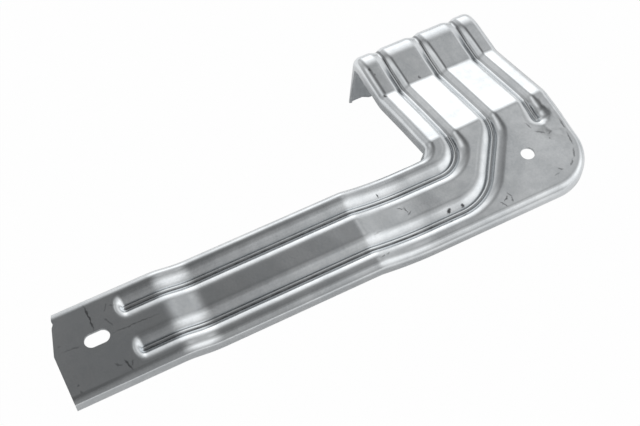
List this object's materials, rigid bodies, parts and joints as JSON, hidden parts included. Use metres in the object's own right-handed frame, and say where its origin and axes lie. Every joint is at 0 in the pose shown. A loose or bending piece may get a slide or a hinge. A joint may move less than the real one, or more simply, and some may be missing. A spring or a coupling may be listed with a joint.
{
  "type": "sheet metal mounting bracket",
  "caption": "L-shaped stamped sheet steel mounting bracket with sunk stiffening beads, turned-down rims, a joggled head with a hanging flange, a round hole and a slotted arm.",
  "frame": {"origin": "centre of the round hole in the corner plate, on the plate's smooth face", "axes": "+X from the hole towards the hanging flange, +Y along the arm towards its slotted end, +Z out of the smooth face of the corner plate"},
  "size_m": [0.1322, 0.2726, 0.0746],
  "materials": {
    "zinc_plated_steel": "bright zinc plate on stamped cold-rolled sheet steel, half gloss, with light handling marks"
  },
  "bodies": {
    "root": {"bracket": "zinc_plated_steel"}
  },
  "joints": []
}
